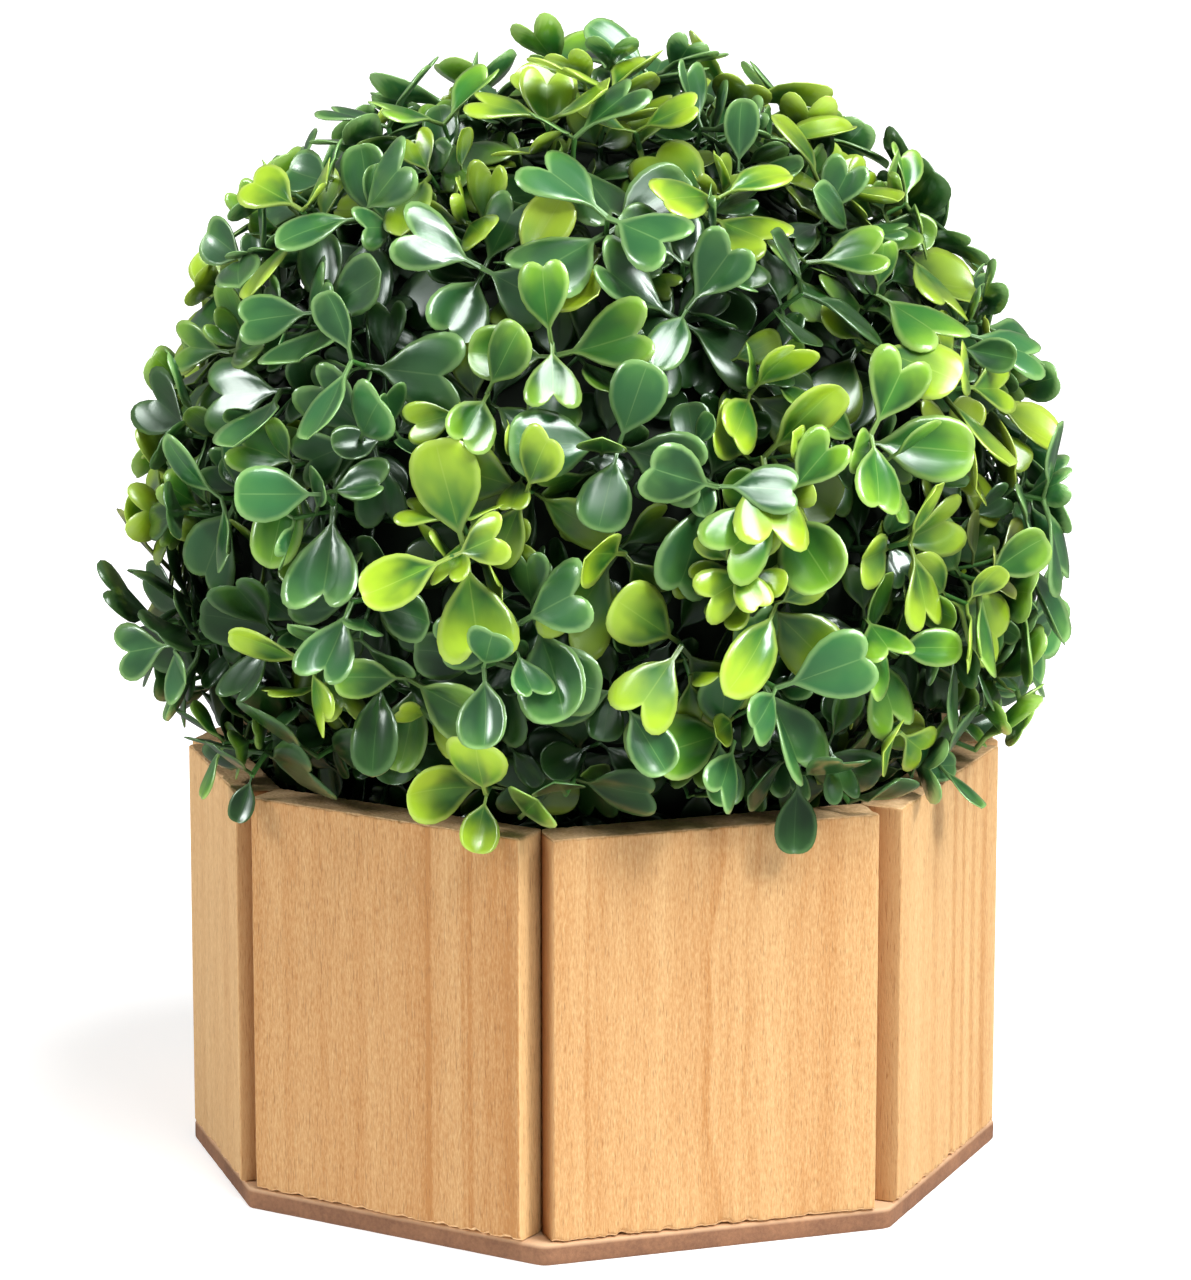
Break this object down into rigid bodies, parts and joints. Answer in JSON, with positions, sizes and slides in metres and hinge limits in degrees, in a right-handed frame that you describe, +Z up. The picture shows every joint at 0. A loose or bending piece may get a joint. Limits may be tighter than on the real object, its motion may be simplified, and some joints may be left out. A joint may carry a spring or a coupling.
{
  "type": "artificial box topiary ball in a wooden planter",
  "caption": "Dense ball of moulded plastic box leaves on a short hidden stem, in a low many-sided planter of upright softwood boards on a thin base plate.",
  "frame": {"origin": "middle of the planter's flat underside, on the axis of the planter and the ball", "axes": "+Z up; +X through the corner between the fourth and fifth boards; -Y is the side that shows first, with a corner of the planter near its middle"},
  "size_m": [0.2281, 0.2297, 0.2652],
  "materials": {
    "softwood": "sawn and lightly sanded softwood, unvarnished, matt",
    "hardboard": "raw brown hardboard, matt",
    "foam": "rigid dry foam, matt",
    "stem_plastic": "moulded polyethylene, matt",
    "leaf_plastic": "moulded polyethylene leaves, dark green going to lime at the tips, satin gloss"
  },
  "bodies": {
    "root": {"base_plate": "hardboard", "board_1": "softwood", "board_2": "softwood", "board_3": "softwood", "board_4": "softwood", "board_5": "softwood", "board_6": "softwood", "board_7": "softwood", "board_8": "softwood", "pot_filling": "foam", "stem": "stem_plastic", "foliage_ball": "leaf_plastic"}
  },
  "joints": []
}
